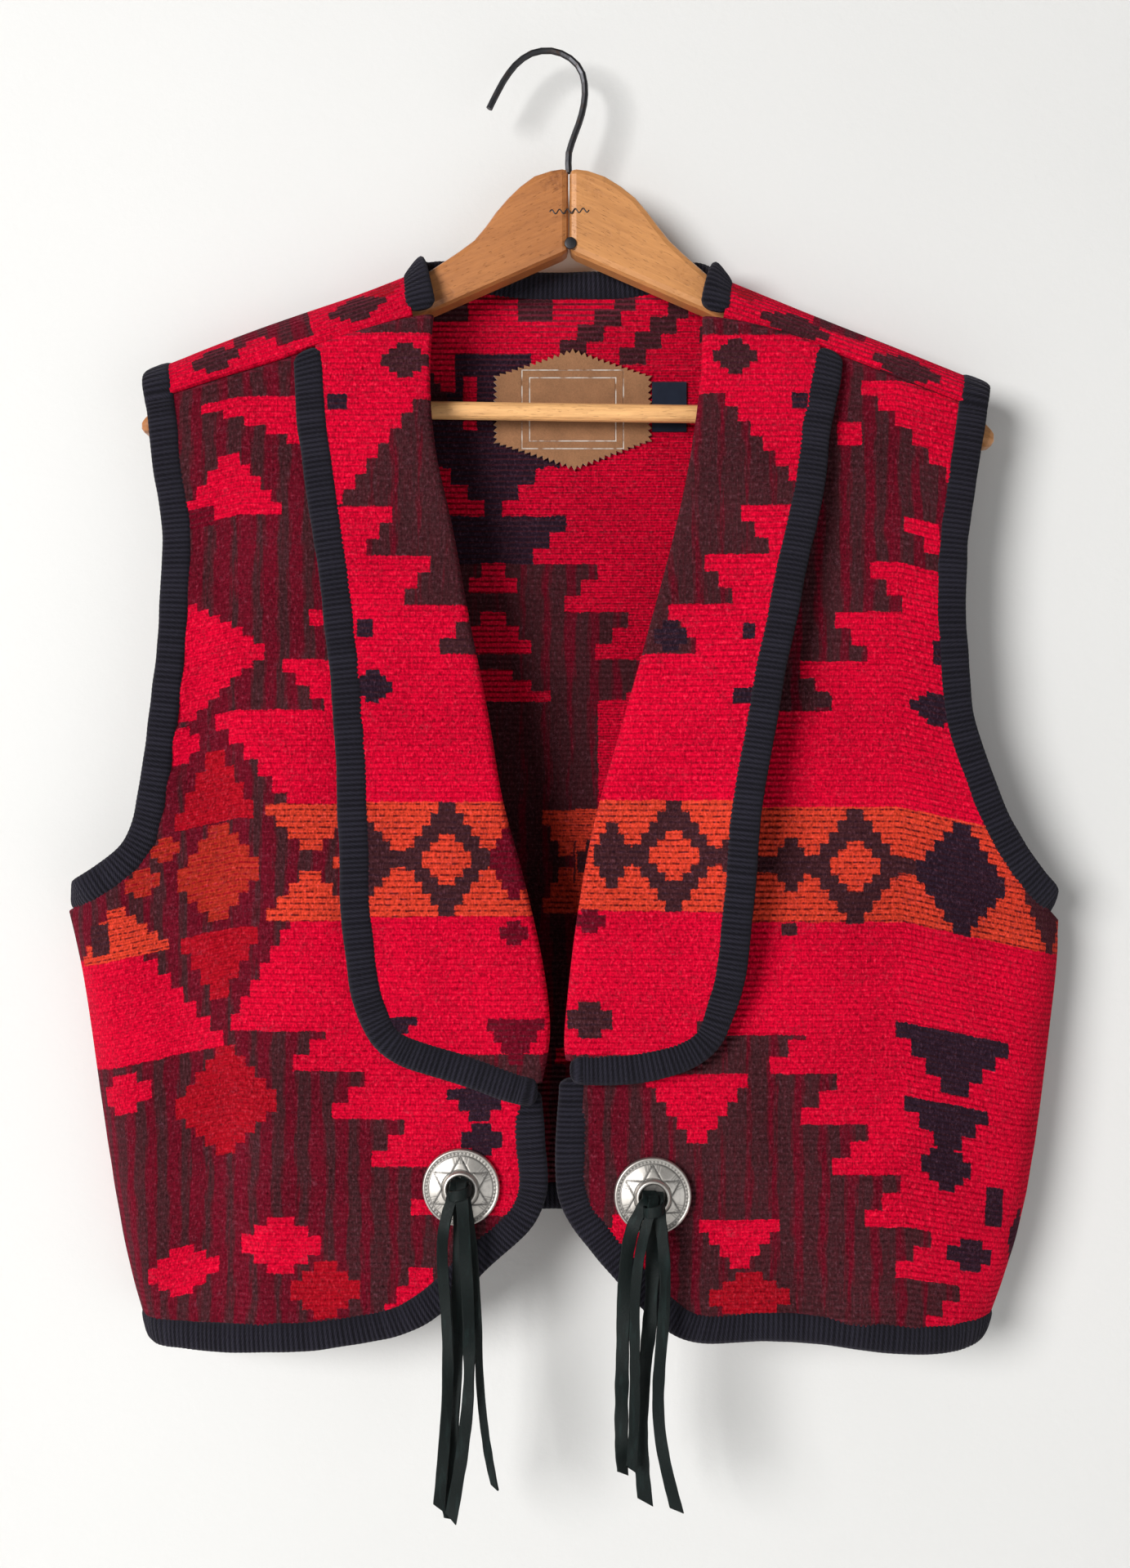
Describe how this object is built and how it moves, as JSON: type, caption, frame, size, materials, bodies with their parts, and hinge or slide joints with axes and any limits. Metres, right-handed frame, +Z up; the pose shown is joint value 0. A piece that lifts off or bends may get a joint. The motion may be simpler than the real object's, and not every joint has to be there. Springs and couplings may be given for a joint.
{
  "type": "western vest on a wooden hanger",
  "caption": "waist-length western vest of brushed patterned wool with bound edges, lapels, conchos and leather tassels, on a wooden hanger",
  "frame": {"origin": "Where the hook rests on what holds it: the underside of the top of its bend", "axes": "+Z up, -Y towards the front of the vest, +X towards the wearer's left"},
  "size_m": [0.5083, 0.0752, 0.7369],
  "materials": {
    "wool": "brushed, thick nap",
    "binding": "wrapped yarn",
    "suede": "suede",
    "tab": "woven",
    "silver": "antiqued",
    "thong": "smooth",
    "hanger_wood": "worn varnish",
    "bar_wood": "varnish",
    "steel": "darkened wire"
  },
  "bodies": {
    "root": {"back": "wool", "front_right": "wool", "front_left": "wool", "lapel_right": "wool", "lapel_left": "wool", "yoke_right": "wool", "yoke_left": "wool", "armhole_binding_front_right": "binding", "armhole_binding_front_left": "binding", "armhole_binding_back_right": "binding", "armhole_binding_back_left": "binding", "front_binding_right": "binding", "front_binding_left": "binding", "lapel_binding_right": "binding", "lapel_binding_left": "binding", "neck_binding": "binding", "back_hem_binding": "binding", "label_patch": "suede", "label_tab": "tab", "concho_right": "silver", "concho_left": "silver", "tassel_right": "thong", "tassel_left": "thong", "hanger_arm_right": "hanger_wood", "hanger_arm_left": "hanger_wood", "hanger_bar": "bar_wood", "hanger_hook": "steel"}
  },
  "joints": []
}
